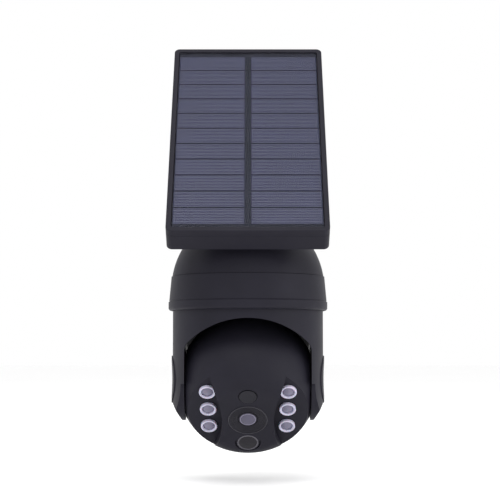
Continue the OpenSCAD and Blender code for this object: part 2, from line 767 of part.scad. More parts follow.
module ball_rear_shell() color(shell_black) at_ball() difference() {
    union() {
        intersection() {
            difference() {
                intersection() {
                    sphere(r = ball_r);
                    cheek_slab(cheek_x);
                }
                intersection() {
                    sphere(r = ball_r - shell_wall);
                    cheek_slab(cheek_x - shell_wall);
                }
            }
            behind_split(-ball_split);
        }
        intersection() {
            sphere(r = ball_r - 1);
            at_ball_screws() translate([0, 0, -20]) cylinder(r = 3.4, h = 20);
        }
        intersection() {
            sphere(r = ball_r - 1);
            translate([0, 0, -ball_r]) ring(17.5, 15.2, 15);
        }
    }
    at_ball_screws() {
        translate([0, 0, -ball_seat - ball_r]) cylinder(r = 2.2 * screw_r, h = ball_r);
        translate([0, 0, -ball_seat - 1]) cylinder(r = screw_r, h = ball_seat + 2);
    }
    translate([0, 0, -ball_split - seal_h]) linear_extrude(2 * seal_h) seal_2d();
    // sound holes in rings
    for (k = [0 : 2], i = [0 : max(0, 6 * k - 1)]) rotate([0, 0, i * 360 / max(1, 6 * k)])
        translate([3.6 * k, 0, -ball_r - 1]) cylinder(r = 0.9, h = 10);
}

// Seal between the ball's shells, inside the wall on the joint plane
module seal_2d() {
    out_r = sqrt(ball_r * ball_r - ball_split * ball_split);
    difference() {
        intersection() {
            circle(out_r - 0.7);
            square([2 * cheek_x - 1.4, ball_d], center = true);
        }
        intersection() {
            circle(out_r - 0.7 - seal_w);
            square([2 * cheek_x - 1.4 - 2 * seal_w, ball_d], center = true);
        }
    }
}

module ball_seal() color(rubber_black) at_ball()
    translate([0, 0, -ball_split - seal_h]) linear_extrude(seal_h) seal_2d();

module ball_screws() color(steel_grey) at_ball() at_ball_screws()
    translate([0, 0, -ball_seat]) rotate([180, 0, 0]) screw(screw_r, ball_seat + 8);

module pivot_bushes() color([0.83, 0.79, 0.66]) at_body() both_ways()
    along_x(cheek_x - bush_len) ring(bush_r, axle_r + fit_gap, bush_len);

module lens_bezel() color([0.06, 0.06, 0.07]) at_ball() rotate_extrude() difference() {
    union() {
        translate([lens_d / 2, bezel_seat]) square([bezel_d / 2 - lens_d / 2 - 0.4, 1.9]);
        translate([lens_d / 2, bezel_seat]) square([bezel_d / 2 - lens_d / 2, 1.5]);
        translate([bezel_d / 2 - 0.4, bezel_seat + 1.5]) circle(0.4);
    }
    // stepped rings that lead down to the lens
    for (k = [0 : 3]) translate([lens_d / 2 - eps, bezel_seat + 0.8 + 0.3 * k])
        square([1.2 + 1.3 * k + eps, 2]);
}

module lens_barrel() color([0.1, 0.1, 0.11]) at_ball() difference() {
    union() {
        translate([0, 0, face_d - 20]) cylinder(r = 7, h = 18.4);
        translate([0, 0, face_d - 20]) cylinder(r = 9.5, h = 7);
    }
    translate([0, 0, face_d - 21]) cylinder(r = 4.6, h = 22);
}

module lens_glass() color([0.62, 0.6, 0.72]) at_ball() intersection() {
    dome_s = 16;
    translate([0, 0, face_d - 1.6]) cylinder(r = lens_d / 2, h = 6);
    translate([0, 0, face_d + 0.3 - dome_s]) sphere(r = dome_s);
}

module sensor_board() color(board_green) at_ball() {
    translate([-17, -17, face_d - 21.6]) cube([34, 34, 1.6]);
    translate([-3, -3, face_d - 20]) cube([6, 6, 1]);
}

module lamp_bezels() color([0.9, 0.89, 0.94]) at_ball() at_lamps() rotate_extrude() {
    translate([lamp_d / 2 - lamp_rim_w, 0]) square([lamp_rim_w, lamp_h]);
    translate([lamp_d / 2 - lamp_rim_w / 2, lamp_h]) circle(lamp_rim_w / 2);
}

module lamp_lenses() color([0.7, 0.68, 0.78]) at_ball() at_lamps() intersection() {
    translate([0, 0, -shell_wall - 1]) cylinder(r = lamp_d / 2 - lamp_rim_w, h = 12);
    translate([0, 0, lamp_h + 0.5 - lens_curve_r]) sphere(r = lens_curve_r);
}

module lamp_boards() color([0.12, 0.12, 0.14]) at_ball() for (s = sides)
    translate([s * lamp_x - lamp_board_w / 2, lamp_v - lamp_pitch - 6.5, pocket_floor - 2.6])
        cube([lamp_board_w, 2 * lamp_pitch + 10, 1.6]);

module light_window() color([0.1, 0.1, 0.12]) at_ball()
    translate([0, light_v - window_gap, face_d - window_deep])
        cylinder(r = light_d / 2 - window_gap - fit_gap, h = window_deep);

module pir_lens() color([0.2, 0.19, 0.23]) at_ball() translate([0, -pir_v, face_d - pir_seat]) {
    cylinder(r = pir_d / 2, h = pir_seat + 0.1);
    intersection() {
        cylinder(r = pir_d / 2 - pir_rim_w, h = 6);
        translate([0, 0, pir_seat + 0.9 - pir_curve_r]) sphere(r = pir_curve_r, $fn = 240);
    }
}

module pir_sensor() color(steel_grey) at_ball() translate([0, -pir_v, face_d - 6]) {
    cylinder(r = 4.6, h = 4.2);
    for (a = [0, 120, 240]) rotate([0, 0, a]) translate([2.5, 0, -4]) cylinder(r = 0.3, h = 4);
}

module tilt_motor() color(motor_grey) at_ball() difference() {
    translate([0, 0, -tilt_centres]) along_x(tilt_plate_x - tilt_motor_l)
        cylinder(r = tilt_motor_r, h = tilt_motor_l);
    translate([0, 0, -tilt_centres]) along_x(tilt_plate_x - 6) cylinder(r = 1.5 + fit_gap, h = 8);
}

module tilt_motor_bracket() color(steel_grey) at_ball() difference() {
    translate([tilt_plate_x, -18, -tilt_centres - 9]) cube([tilt_plate_t, 36, 18]);
    translate([0, 0, -tilt_centres]) along_x(tilt_plate_x - 1) cylinder(r = 3, h = 4);
}

module tilt_pinion() color(gear_white) at_ball() translate([0, 0, -tilt_centres]) {
    along_x(tilt_gear_x) rotate([0, 0, pinion_turn]) spur_gear(pinion_teeth, tilt_module, gear_t - 0.3, 1.5);
    along_x(tilt_plate_x - 5.5) cylinder(r = 1.5, h = tilt_gear_x + gear_t - tilt_plate_x + 5);
}

module speaker() color([0.15, 0.15, 0.16]) at_ball() translate([0, 0, -ball_r + 6.4]) {
    cylinder(r = 15, h = 4);
    translate([0, 0, 4]) cylinder(r = 8, h = 3);
}

// ---- solar panel ----

module swivel_base() color(shell_black) at_body() difference() {
    union() {
        translate([0, 0, seat_z + 0.3]) cylinder(r = swivel_r, h = swivel_t);
        translate([0, 0, seat_z - 14]) cylinder(r = swivel_pin_r, h = 16);
        both_ways() {
            translate([knuckle_w / 2 + ear_gap, -ear_r, seat_z + 1])
                cube([ear_t, 2 * ear_r, hinge_z - seat_z - 1]);
            translate([0, 0, hinge_z]) along_x(knuckle_w / 2 + ear_gap) cylinder(r = ear_r, h = ear_t);
        }
    }
    translate([0, 0, hinge_z]) along_x(-40) cylinder(r = bolt_r, h = 80);
    translate([0, 0, seat_z - 20]) cylinder(r = 3.5, h = 30);
}

module swivel_nut() color(steel_grey) at_body()
    translate([0, 0, seat_z - 11.5]) ring(swivel_pin_r + 4, swivel_pin_r, 3);

module hinge_bolt() color(steel_grey) at_body() translate([0, 0, hinge_z]) {
    grip = knuckle_w / 2 + ear_gap + ear_t;
    along_x(-grip) cylinder(r = bolt_r, h = 2 * grip + 12);
    along_x(-grip - 3) cylinder(r = 5.5, h = 3, $fn = 6);
}

module clamp_knob() color(shell_black) at_body() translate([0, 0, hinge_z])
    along_x(knuckle_w / 2 + 2 * ear_gap + ear_t) difference() {
        union() {
            cylinder(r = 7.2, h = 10);
            for (a = [0 : 60 : 300]) rotate([0, 0, a]) translate([6.6, 0, 0]) cylinder(r = 2.2, h = 10);
        }
        translate([0, 0, -eps]) cylinder(r = bolt_r + fit_gap, h = 14);
        translate([0, 0, 8.4]) cylinder(r = 4.6, h = 3);
    }

module panel_bracket() color(shell_black) at_panel() difference() {
    union() {
        translate([0, 0, hinge_depth - bracket_t]) rounded_plate(bracket_w, bracket_l, bracket_t, 5);
        along_x(-knuckle_w / 2) cylinder(r = ear_r, h = knuckle_w);
        translate([-knuckle_w / 2, -ear_r, 0]) cube([knuckle_w, 2 * ear_r, hinge_depth - bracket_t]);
    }
    along_x(-knuckle_w) cylinder(r = bolt_r + fit_gap, h = 2 * knuckle_w);
    at_bracket_bolts() cylinder(r = 2, h = 60, center = true);
}

module at_bracket_bolts() for (x = sides, y = sides)
    translate([x * bracket_bolt_x, y * bracket_bolt_y, hinge_depth - bracket_t]) children();

module bracket_bolts() color(steel_grey) at_panel() at_bracket_bolts()
    rotate([180, 0, 0]) screw(2, 9);

module at_underside() at_panel() translate([0, hinge_shift, hinge_depth]) children();

module at_panel_screws() for (x = sides, y = [-1, 0, 1])
    translate([x * (panel_w / 2 - screw_inset), y * (panel_l / 2 - screw_inset), 0]) children();

module panel_tray() color(shell_black) at_underside() difference() {
    union() {
        difference() {
            rounded_plate(panel_w, panel_l, tray_h, panel_corner);
            translate([0, 0, back_t])
                rounded_plate(panel_w - 2 * shell_wall, panel_l - 2 * shell_wall, panel_t, tray_corner);
        }
        at_panel_screws() cylinder(r = 3.4, h = tray_h);
        translate([0, -hinge_shift, 0]) rounded_plate(bracket_w, bracket_l, back_t + 5, 5);
    }
    at_panel_screws() {
        translate([0, 0, -eps]) cylinder(r = 2 * screw_r, h = panel_screw_z + eps);
        cylinder(r = screw_r, h = panel_t);
    }
    translate([0, -hinge_shift, -hinge_depth]) at_bracket_bolts() cylinder(r = 2, h = 9.4);
    translate([0, 0, tray_h - seal_t]) linear_extrude(2) panel_seal_2d();
}

module panel_seal_2d() difference() {
    rounded_rect(panel_w - 2, panel_l - 2, panel_corner - 1);
    rounded_rect(panel_w - 2 - 2 * 0.8, panel_l - 2 - 2 * 0.8, panel_corner - 1.8);
}

module panel_seal() color(rubber_black) at_underside()
    translate([0, 0, tray_h - seal_t]) linear_extrude(seal_t) panel_seal_2d();

module panel_frame() color(shell_black) at_underside() difference() {
    translate([0, 0, tray_h]) rounded_plate(panel_w, panel_l, frame_t, panel_corner);
    translate([0, 0, tray_h - eps]) rounded_plate(window_w - 2 * ledge_w, window_l - 2 * ledge_w, panel_t, 1);
    translate([0, 0, sheet_z])
        rounded_plate(window_w, window_l, frame_t, 1.5);
    at_panel_screws() cylinder(r = screw_r, h = sheet_z - 0.6);
}

module panel_screws() color(steel_grey) at_underside() at_panel_screws()
    translate([0, 0, panel_screw_z]) rotate([180, 0, 0]) screw(screw_r, sheet_z - 0.6 - panel_screw_z);

module cell_backing() color([0.055, 0.055, 0.075]) at_underside()
    translate([0, 0, sheet_z])
        rounded_plate(window_w - 2 * sheet_gap, window_l - 2 * sheet_gap, backing_t, 1.3);

module solar_cells() color([0.2, 0.21, 0.36]) at_underside() {
    field_w = window_w - 2 * cell_side;
    field_l = window_l - 2 * cell_border;
    cell_w = (field_w - (cell_cols - 1) * column_gap) / cell_cols;
    cell_h = (field_l - (cell_rows - 1) * row_gap) / cell_rows;
    for (c = [0 : cell_cols - 1], r = [0 : cell_rows - 1])
        translate([c * (cell_w + column_gap) - field_w / 2, r * (cell_h + row_gap) - field_l / 2,
            sheet_z + backing_t]) cube([cell_w, cell_h, cell_t]);
}

module clear_sheet() color([0.6, 0.65, 0.75, 0.25]) at_underside()
    translate([0, 0, sheet_z + backing_t + cell_t])
        rounded_plate(window_w - 2 * sheet_gap, window_l - 2 * sheet_gap, sheet_t, 1.3);

module charge_board() color(board_green) at_underside() {
    translate([-20, 32, back_t]) cube([40, 24, 3]);
    translate([-9, 38, back_t + 3]) cube([8, 8, 2.2]);
}

wall_bracket();
bracket_screws();
dome_shell();
collar_shell();
housing_seal();
housing_screws();
battery_cells();
battery_holder();
main_board();
wifi_antenna();
pan_motor();
motor_screws();
pan_bush();
usb_socket();
port_cover();
power_button();
pan_pinion();
yoke_shell();
arm_liners();
pan_gear();
pan_retainer();
pivot_axles();
axle_clips();
tilt_gear();
ear_cap_left();
ear_cap_right();
tilt_pinion();
ball_front_shell();
ball_rear_shell();
ball_seal();
ball_screws();
pivot_bushes();
lens_bezel();
lens_barrel();
lens_glass();
sensor_board();
lamp_bezels();
lamp_lenses();
lamp_boards();
light_window();
pir_lens();
pir_sensor();
tilt_motor();
tilt_motor_bracket();
speaker();
swivel_base();
swivel_nut();
hinge_bolt();
clamp_knob();
panel_bracket();
bracket_bolts();
panel_tray();
panel_seal();
panel_frame();
panel_screws();
cell_backing();
solar_cells();
clear_sheet();
charge_board();
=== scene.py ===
"""Solar security camera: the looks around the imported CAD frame. Metres, in the CAD's own frame."""
import json
import math

import bmesh
import bpy
from mathutils import Matrix, Vector


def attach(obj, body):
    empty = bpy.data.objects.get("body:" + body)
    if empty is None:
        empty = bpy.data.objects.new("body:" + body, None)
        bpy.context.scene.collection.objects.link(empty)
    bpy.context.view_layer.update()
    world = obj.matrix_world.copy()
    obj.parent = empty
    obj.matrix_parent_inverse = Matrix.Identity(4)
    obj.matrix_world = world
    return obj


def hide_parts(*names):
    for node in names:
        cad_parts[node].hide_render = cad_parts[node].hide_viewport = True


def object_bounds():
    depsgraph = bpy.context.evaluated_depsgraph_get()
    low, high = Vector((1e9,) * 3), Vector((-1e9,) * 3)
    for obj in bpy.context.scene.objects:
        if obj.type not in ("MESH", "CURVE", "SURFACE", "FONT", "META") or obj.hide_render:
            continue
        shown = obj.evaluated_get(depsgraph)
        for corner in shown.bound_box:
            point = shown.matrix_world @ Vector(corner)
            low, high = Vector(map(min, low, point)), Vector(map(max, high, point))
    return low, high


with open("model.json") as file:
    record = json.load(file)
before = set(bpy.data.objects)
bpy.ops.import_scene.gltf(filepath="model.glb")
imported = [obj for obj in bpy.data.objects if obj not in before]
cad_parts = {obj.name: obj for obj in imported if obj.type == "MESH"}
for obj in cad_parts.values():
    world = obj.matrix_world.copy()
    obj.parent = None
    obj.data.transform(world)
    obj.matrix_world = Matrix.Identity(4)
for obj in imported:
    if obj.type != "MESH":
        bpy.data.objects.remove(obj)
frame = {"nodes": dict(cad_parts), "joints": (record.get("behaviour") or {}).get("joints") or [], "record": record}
cad_box = [list(corner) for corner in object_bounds()]
nodes = frame["nodes"]
scene = bpy.context.scene

MM = 0.001
TAU = 2 * math.pi

# ---- places taken from the frame ----

joints = {j["name"]: j for j in frame["joints"]}
tilt_at = Vector(joints["tilt"]["pos_m"])
hinge_at = Vector(joints["panel_tilt"]["pos_m"])
LENS_DOWN = math.radians(44)      # the lens looks this far below level at rest
PANEL_SLOPE = math.radians(52)    # the panel's slope at rest

# Ball frame: X across, Y up the face, Z out along the lens
ball_frame = Matrix.Translation(tilt_at) @ Matrix.Rotation(LENS_DOWN + math.pi / 2, 4, "X")
# Panel frame: X across, Y up the slope, Z out of the panel
panel_frame = Matrix.Translation(hinge_at) @ Matrix.Rotation(PANEL_SLOPE, 4, "X")


def local_box(node, frame_matrix):
    """Lowest and highest corner of a CAD node in another frame, in metres."""
    back = frame_matrix.inverted()
    points = [back @ v.co for v in nodes[node].data.vertices]
    low = Vector([min(p[i] for p in points) for i in range(3)])
    high = Vector([max(p[i] for p in points) for i in range(3)])
    return low, high


# ---- materials ----

class Nodes:
    """A small helper that adds shader nodes and links them."""

    def __init__(self, name):
        self.material = bpy.data.materials.new(name)
        self.material.use_nodes = True
        self.tree = self.material.node_tree
        self.shader = self.tree.nodes["Principled BSDF"]
        self.coords = self.tree.nodes.new("ShaderNodeTexCoord")

    def add(self, kind, **settings):
        node = self.tree.nodes.new(kind)
        for key, value in settings.items():
            if key in node.inputs:
                node.inputs[key].default_value = value
            else:
                setattr(node, key, value)
        return node

    def link(self, out, into):
        self.tree.links.new(out, into)

    def position(self, scale=(1, 1, 1), turn=(0, 0, 0)):
        mapping = self.add("ShaderNodeMapping")
        mapping.inputs["Scale"].default_value = scale
        mapping.inputs["Rotation"].default_value = turn
        self.link(self.coords.outputs["Object"], mapping.inputs["Vector"])
        return mapping.outputs["Vector"]

    def noise(self, scale, detail=3.0, roughness=0.55, vector=None):
        tex = self.add("ShaderNodeTexNoise")
        tex.inputs["Scale"].default_value = scale
        tex.inputs["Detail"].default_value = detail
        tex.inputs["Roughness"].default_value = roughness
        self.link(vector or self.coords.outputs["Object"], tex.inputs["Vector"])
        return tex.outputs["Fac"]

    def cells(self, scale, vector=None, feature="F1"):
        tex = self.add("ShaderNodeTexVoronoi", feature=feature)
        tex.inputs["Scale"].default_value = scale
        self.link(vector or self.coords.outputs["Object"], tex.inputs["Vector"])
        return tex.outputs["Distance"]

    def ramp(self, value, stops):
        ramp = self.add("ShaderNodeValToRGB")
        elements = ramp.color_ramp.elements
        while len(elements) < len(stops):
            elements.new(0.5)
        for element, (place, colour) in zip(elements, stops):
            element.position = place
            element.color = (*colour, 1)
        self.link(value, ramp.inputs["Fac"])
        return ramp.outputs["Color"]

    def rescale(self, value, low, high):
        node = self.add("ShaderNodeMapRange")
        node.inputs["To Min"].default_value = low
        node.inputs["To Max"].default_value = high
        self.link(value, node.inputs["Value"])
        return node.outputs["Result"]

    def math(self, operation, a, b):
        node = self.add("ShaderNodeMath", operation=operation)
        for socket, value in zip(node.inputs, (a, b)):
            if isinstance(value, (int, float)):
                socket.default_value = value
            else:
                self.link(value, socket)
        return node.outputs["Value"]

    def bump(self, height, strength, distance, under=None):
        node = self.add("ShaderNodeBump")
        node.inputs["Strength"].default_value = strength
        node.inputs["Distance"].default_value = distance
        self.link(height, node.inputs["Height"])
        if under is not None:
            self.link(under, node.inputs["Normal"])
        return node.outputs["Normal"]

    def set(self, **values):
        for key, value in values.items():
            self.shader.inputs[key.replace("_", " ")].default_value = value

    def feed(self, **values):
        for key, value in values.items():
            self.link(value, self.shader.inputs[key.replace("_", " ")])


def tones(colour, spread):
    """The colour a little darker and a little lighter."""
    return [tuple(c * (1 - spread) for c in colour), tuple(min(1, c * (1 + spread)) for c in colour)]


def moulded(name, colour, rough=0.52, grain=1900, depth=0.00004, gloss=0.3, wear=0.12):
    """Moulded plastic: fine spark-eroded grain, faint flow marks and uneven gloss."""
    m = Nodes(name)
    low, high = tones(colour, wear)
    flow = m.noise(28, 4)
    m.feed(Base_Color=m.ramp(flow, [(0.3, low), (0.7, high)]))
    m.feed(Roughness=m.rescale(m.noise(90, 3), rough - 0.05, rough + 0.06))
    fine = m.bump(m.noise(grain, 2, 0.6), 0.35, depth)
    m.feed(Normal=m.bump(m.cells(grain * 0.7), 0.2, depth, fine))
    m.set(Specular_IOR_Level=gloss)
    return m.material


def metal(name, colour, rough=0.32, along=(1, 1, 30), scale=260):
    """Brushed or drawn metal: long scratches and patchy polish."""
    m = Nodes(name)
    streaks = m.noise(scale, 4, 0.6, m.position(along))
    low, high = tones(colour, 0.12)
    m.feed(Base_Color=m.ramp(streaks, [(0.3, low), (0.7, high)]))
    m.feed(Roughness=m.rescale(streaks, rough - 0.08, rough + 0.12))
    m.feed(Normal=m.bump(streaks, 0.25, 0.00005))
    m.set(Metallic=1.0)
    return m.material


def rubber(name, colour, gloss=0.3):
    """Soft matt rubber with a fine powdery surface."""
    m = Nodes(name)
    low, high = tones(colour, 0.25)
    m.feed(Base_Color=m.ramp(m.noise(60, 4), [(0.35, low), (0.65, high)]))
    m.feed(Roughness=m.rescale(m.noise(400, 2), 0.72, 0.86))
    m.feed(Normal=m.bump(m.noise(2200, 2), 0.3, 0.00005))
    m.set(Specular_IOR_Level=gloss)
    return m.material


def board(name, mask, copper):
    """Circuit board: solder mask over copper tracks and rows of pads."""
    m = Nodes(name)
    tracks = m.add("ShaderNodeTexBrick", offset=0.37)
    tracks.inputs["Scale"].default_value = 160
    tracks.inputs["Mortar Size"].default_value = 0.06
    tracks.inputs["Color1"].default_value = (*tones(mask, 0.15)[0], 1)
    tracks.inputs["Color2"].default_value = (*mask, 1)
    tracks.inputs["Mortar"].default_value = (*copper, 1)
    m.link(m.coords.outputs["Object"], tracks.inputs["Vector"])
    m.feed(Base_Color=tracks.outputs["Color"])
    m.feed(Roughness=m.rescale(m.noise(300, 2), 0.28, 0.42))
    m.feed(Normal=m.bump(tracks.outputs["Fac"], 0.3, 0.00006))
    m.set(Coat_Weight=0.25, Coat_Roughness=0.2)
    return m.material


def glossy(name, colour, rough=0.16, coat=0.3, spread=0.08, alpha=1.0, subsurface=0.0,
           wave=0.12, gloss=0.5):
    """Polished plastic or glass: faint waves and a few fine marks in the gloss."""
    m = Nodes(name)
    low, high = tones(colour, spread)
    m.feed(Base_Color=m.ramp(m.noise(120, 3), [(0.3, low), (0.7, high)]))
    m.feed(Roughness=m.rescale(m.noise(500, 3), rough - 0.04, rough + 0.06))
    m.feed(Normal=m.bump(m.noise(160, 2), wave, 0.00003))
    m.set(Coat_Weight=coat, Coat_Roughness=0.08, Alpha=alpha, Specular_IOR_Level=gloss)
    if subsurface:
        m.set(Subsurface_Weight=subsurface, Subsurface_Scale=0.002)
    return m.material


FACET_SHARE = 0.35    # how much of the cells' tone comes from single crystals


def silicon(name, colour):
    """A polycrystalline cell: small crystal facets of slightly different blue, under a dark coating."""
    m = Nodes(name)
    low, high = tones(colour, 0.13)
    crystals = m.add("ShaderNodeTexVoronoi")
    crystals.inputs["Scale"].default_value = 420
    m.link(m.position((1, 1, 1), (0.3, 0.5, 0.2)), crystals.inputs["Vector"])
    tone = m.add("ShaderNodeSeparateColor")
    m.link(crystals.outputs["Color"], tone.inputs["Color"])
    facets = m.math("MULTIPLY", tone.outputs["Red"], FACET_SHARE)
    clouds = m.math("MULTIPLY", m.noise(34, 3), 1 - FACET_SHARE)
    mixed = m.math("ADD", facets, clouds)
    m.feed(Base_Color=m.ramp(mixed, [(0.25, low), (0.75, high)]))
    m.feed(Roughness=m.rescale(tone.outputs["Green"], 0.3, 0.44))
    m.feed(Normal=m.bump(m.noise(900, 2), 0.05, 0.00002))
    m.set(Specular_IOR_Level=0.1)
    return m.material


BLACK = (0.0142, 0.0134, 0.0205)
mat = {
    "shell_plastic": moulded("shell_plastic", BLACK, gloss=0.13),
    "steel": metal("steel", (0.62, 0.63, 0.66)),
    "motor_can": metal("motor_can", (0.5, 0.51, 0.53), 0.36, (30, 30, 1)),
    "seal_rubber": rubber("seal_rubber", (0.018, 0.018, 0.021)),
    "cell_can": glossy("cell_can", (0.03, 0.14, 0.5), 0.3, 0.2),
    "inner_plastic": moulded("inner_plastic", (0.03, 0.03, 0.034), 0.45, 1400),
    "circuit_board": board("circuit_board", (0.015, 0.13, 0.05), (0.05, 0.3, 0.14)),
    "antenna_film": metal("antenna_film", (0.75, 0.5, 0.2), 0.3),
    "gear_plastic": moulded("gear_plastic", (0.78, 0.77, 0.71), 0.4, 1200, wear=0.04),
    "bush_plastic": moulded("bush_plastic", (0.66, 0.6, 0.42), 0.38, 1200, wear=0.05),
    "lens_black": glossy("lens_black", (0.013, 0.012, 0.018), 0.34, 0.0, gloss=0.2),
    "lens_glass": glossy("lens_glass", (0.07, 0.063, 0.105), 0.1, 0.5, gloss=0.3),
    "lamp_white": glossy("lamp_white", (0.56, 0.54, 0.68), 0.3, 0.2, 0.03, 1.0, 0.1, gloss=0.3),
    "lamp_clear": glossy("lamp_clear", (0.18, 0.168, 0.24), 0.24, 0.3, 0.06, 1.0, 0.1, gloss=0.3),
    "window_dark": glossy("window_dark", (0.014, 0.0135, 0.019), 0.36, 0.0, gloss=0.18),
    "sensor_film": glossy("sensor_film", (0.017, 0.0155, 0.02), 0.36, 0.0, gloss=0.2),
    "backing_sheet": rubber("backing_sheet", (0.013, 0.0138, 0.022), 0.12),
    "solar_silicon": silicon("solar_silicon", (0.019, 0.0205, 0.05)),
    "clear_cover": glossy("clear_cover", (0.2, 0.21, 0.25), 0.3, 0.0, 0.02, 0.03, wave=0.02, gloss=0.2),
}
cell_silver = metal("cell_silver", (0.21, 0.215, 0.29), 0.45)
# Lighter than the bezel's black: a painted highlight for the line along the lens bezel's lip
lip_highlight_paint = glossy("lip_highlight_paint", (0.03, 0.0285, 0.038), 0.34, 0.1, gloss=0.3)
# Lighter than the front glass: a painted highlight round the glass's rim
glass_highlight_paint = glossy("glass_highlight_paint", (0.17, 0.155, 0.23), 0.2, 0.4, gloss=0.4)
# Pale translucent plastic, made lighter to paint the highlight along the motion sensor's rim
pale_rim_and_highlight = glossy("pale_rim_and_highlight", (0.075, 0.071, 0.087), 0.34, 0.2, gloss=0.4)

slot_of = {p["node"]: p["material_slot"] for p in frame["record"]["subparts"]}


# ---- pieces built here ----

def piece(name, bm, body, look, replaces=()):
    """Turns a bmesh into a named piece that rides on a CAD body."""
    bmesh.ops.recalc_face_normals(bm, faces=bm.faces)
    mesh = bpy.data.meshes.new(name)
    bm.to_mesh(mesh)
    bm.free()
    mesh.materials.append(look)
    o = bpy.data.objects.new(name, mesh)
    scene.collection.objects.link(o)
    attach(o, body)
    if replaces:
        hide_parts(*replaces)
    return o


def smooth(o, angle=40):
    """Smooth shading, with edges sharper than the angle left crisp."""
    for face in o.data.polygons:
        face.use_smooth = True
    o.data.set_sharp_from_angle(angle=math.radians(angle))


def lathe(bm, profile, place, steps=64, closed=True):
    """Turns a profile of (radius, height) points in millimetres about the Z axis of a frame."""
    rings = []
    for radius, height in profile:
        count = steps if radius > 1e-6 else 1
        rings.append([bm.verts.new(place @ (Vector((radius * math.cos(TAU * i / count),
                                                    radius * math.sin(TAU * i / count), height)) * MM))
                      for i in range(count)])
    pairs = list(zip(rings, rings[1:])) + ([(rings[-1], rings[0])] if closed else [])
    for lower, upper in pairs:
        for i in range(steps):
            j = (i + 1) % steps
            corners = dict.fromkeys([lower[i % len(lower)], lower[j % len(lower)],
                                     upper[j % len(upper)], upper[i % len(upper)]])
            if len(corners) > 2:
                bm.faces.new(list(corners))


def arc(centre, radius, start, end, count):
    """Points along an arc of a lathe profile, angles in degrees from the radius direction."""
    turns = [math.radians(start + (end - start) * i / count) for i in range(count + 1)]
    return [(centre[0] + radius * math.cos(t), centre[1] + radius * math.sin(t)) for t in turns]


def slab(bm, low, high, place, edge=0.0):
    """A box with its upper edges cut back, in a frame, in millimetres."""
    def ring(inset, z):
        return [bm.verts.new(place @ (Vector((x, y, z)) * MM)) for x, y in (
            (low[0] + inset, low[1] + inset), (high[0] - inset, low[1] + inset),
            (high[0] - inset, high[1] - inset), (low[0] + inset, high[1] - inset))]
    rings = [ring(0, low[2]), ring(0, high[2] - edge)]
    if edge:
        rings.append(ring(edge, high[2]))
    bm.faces.new(rings[0][::-1])
    bm.faces.new(rings[-1])
    for lower, upper in zip(rings, rings[1:]):
        for i in range(4):
            j = (i + 1) % 4
            bm.faces.new((lower[i], lower[j], upper[j], upper[i]))


def spans(values):
    """Pairs of (start, end) from the corner positions of a row of boxes, in millimetres."""
    marks = sorted(set(round(v / MM, 3) for v in values))
    return list(zip(marks[::2], marks[1::2]))


# Solar cells: wafers with silver fingers on them
FINGERS = 10
FINGER_W = 0.2
FINGER_H = 0.05
FINGER_MARGIN = 0.5
WAFER_EDGE = 0.06

cell_points = [panel_frame.inverted() @ v.co for v in nodes["solar_cells"].data.vertices]
columns = spans([p.x for p in cell_points])
rows = spans([p.y for p in cell_points])
(cell_low, cell_high), = spans([p.z for p in cell_points])
wafer_bm, finger_bm = bmesh.new(), bmesh.new()
for left, right in columns:
    for lower, upper in rows:
        top = cell_high - FINGER_H
        slab(wafer_bm, (left, lower, cell_low), (right, upper, top), panel_frame, WAFER_EDGE)
        pitch = (upper - lower) / FINGERS
        for i in range(FINGERS):
            middle = lower + (i + 0.5) * pitch
            slab(finger_bm, (left + FINGER_MARGIN, middle - FINGER_W / 2, top - 0.01),
                 (right - FINGER_MARGIN, middle + FINGER_W / 2, cell_high - 0.01), panel_frame)
piece("wafers", wafer_bm, "panel", mat["solar_silicon"], ["solar_cells"])
piece("wafer_fingers", finger_bm, "panel", cell_silver)

# Lens: a bezel with fine turned rings, and a coated front glass. Millimetres.
RING_STEPS = 5
LIP_R = 0.5           # rounding of the bezel's outer lip
LIP_W = 1.5
FLOOR_DROP = 0.55     # from the lip down to the first ring
STEP_DROP = 0.16      # from each ring down to the next
RIDGE_H = 0.12
SEAT_W = 0.9          # the step that holds the glass
SEAT_DROP = 0.5
GLASS_BULGE = 0.9
GLASS_STEPS = 12
RING_SIDES = 96
GLASS_SIDES = 64

low, high = [corner / MM for corner in local_box("lens_bezel", ball_frame)]
outer, seat, lip = high.x, low.z, high.z
glass_low, glass_high = [corner / MM for corner in local_box("lens_glass", ball_frame)]
inner = glass_high.x
profile = [(inner, seat), (outer, seat), (outer, lip - LIP_R)]
profile += arc((outer - LIP_R - 0.05, lip - LIP_R), LIP_R, 0, 180, 8)
start, width = outer - LIP_W, (outer - inner - LIP_W - 1.1) / RING_STEPS
floor_h = lip - FLOOR_DROP
for i in range(RING_STEPS):
    edge = start - i * width
    height = floor_h - STEP_DROP * i
    profile += [(edge, height), (edge - 0.62 * width, height - 0.05),
                (edge - 0.7 * width, height + RIDGE_H), (edge - 0.86 * width, height + RIDGE_H),
                (edge - 0.94 * width, height - RIDGE_H)]
profile += [(inner + SEAT_W, floor_h - 0.95), (inner + 0.7, floor_h - SEAT_DROP),
            (inner, floor_h - SEAT_DROP)]
bm = bmesh.new()
lathe(bm, profile, ball_frame, RING_SIDES)
smooth(piece("lens_rings", bm, "ball", mat["lens_black"], ["lens_bezel"]), 50)

# A thin ring on the bezel's outer lip, coloured lighter than the bezel: a painted highlight along the lip's edge
LINE_R = 0.25
bm = bmesh.new()
lathe(bm, arc((outer - LIP_R - 0.05, lip - 0.1), LINE_R, 0, 330, 11), ball_frame, RING_SIDES)
smooth(piece("lens_lip_highlight", bm, "ball", lip_highlight_paint), 60)

curve = (inner ** 2 + GLASS_BULGE ** 2) / (2 * GLASS_BULGE)
bm = bmesh.new()
dome = []
for i in range(GLASS_STEPS + 1):
    r = inner * math.sin(i / GLASS_STEPS * math.pi / 2)
    dome.append((r, glass_high.z - curve + math.sqrt(curve ** 2 - r ** 2)))
back = [(0, glass_low.z), (inner - 0.02, glass_low.z)]
lathe(bm, back + dome[::-1], ball_frame, GLASS_SIDES, False)
smooth(piece("front_glass", bm, "ball", mat["lens_glass"], ["lens_glass"]))
